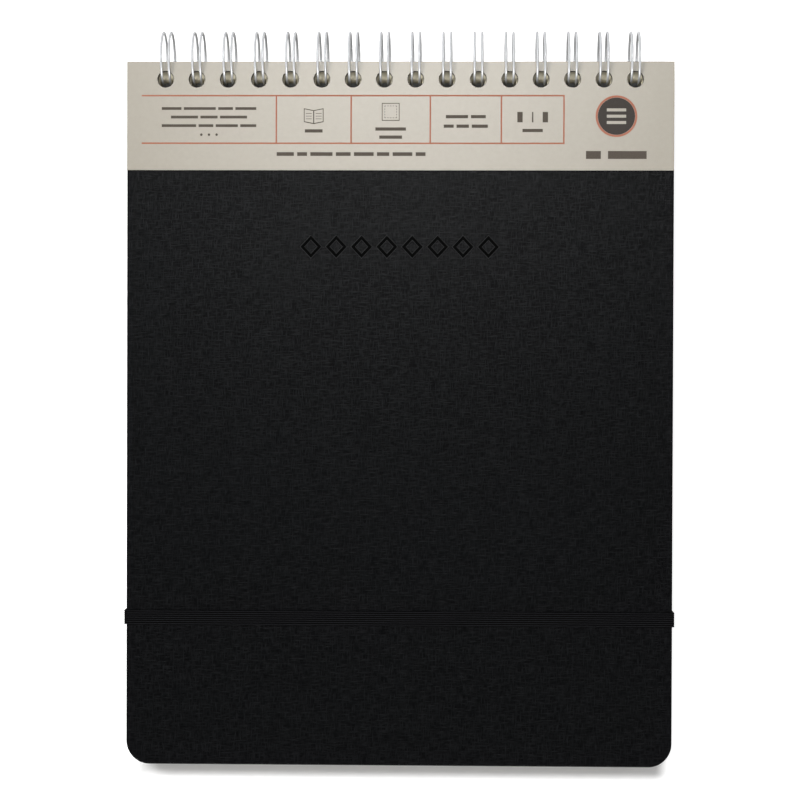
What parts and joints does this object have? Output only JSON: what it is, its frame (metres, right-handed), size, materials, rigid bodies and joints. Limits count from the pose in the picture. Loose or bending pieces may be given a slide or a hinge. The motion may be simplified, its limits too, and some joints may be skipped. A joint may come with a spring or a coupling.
{
  "type": "spiral notebook",
  "caption": "Hard-covered ruled notebook held by a twin-loop wire along its short edge, with a label card under the wire and an elastic band round its foot.",
  "frame": {"origin": "Middle of the object's footprint in X and Y, at the height of the rings' lowest point, which is also the lowest point of the notebook lying on its back.", "axes": "+X along the binding wire, to the right of someone who faces the front cover with the wire at the top. +Y from the foot to the wire. +Z out of the front cover."},
  "size_m": [0.2238, 0.2992, 0.0222],
  "materials": {
    "grey_board": "raw grey board",
    "black_book_cloth": "coated covering paper with a fine linen grain, satin",
    "endpaper": "uncoated pale endpaper",
    "ruled_paper": "uncoated writing paper with faint rules",
    "silver_wire": "drawn and coated binding wire, satin silver",
    "black_elastic": "ribbed woven elastic, matt",
    "label_card": "smooth pale grey card",
    "copper_ink": "copper printing ink",
    "brown_ink": "brown-grey printing ink",
    "badge_ink": "dark grey printing ink"
  },
  "bodies": {
    "root": {"back_board": "grey_board", "back_covering": "black_book_cloth", "back_endpaper": "endpaper", "binding_wire": "silver_wire", "elastic_band": "black_elastic"},
    "pages": {"page_block": "ruled_paper"},
    "front_cover": {"front_board": "grey_board", "front_covering": "black_book_cloth", "front_endpaper": "endpaper"},
    "label": {"header_label": "label_card", "label_rules": "copper_ink", "label_lines": "brown_ink", "label_badge": "badge_ink"}
  },
  "joints": [
    {"name": "page_turn", "type": "hinge", "parent": "root", "child": "pages", "pos_m": [0, 0.13846, 0.0111], "axis": [1, 0, 0], "range_deg": [-180, 0], "deforming": ["elastic_band"]},
    {"name": "cover_turn", "type": "hinge", "parent": "pages", "child": "front_cover", "pos_m": [0, 0.13846, 0.0111], "axis": [-1, 0, 0], "range_deg": [0, 180], "deforming": ["elastic_band"]},
    {"name": "label_turn", "type": "hinge", "parent": "front_cover", "child": "label", "pos_m": [0, 0.13846, 0.0111], "axis": [-1, 0, 0], "range_deg": [0, 180]}
  ]
}
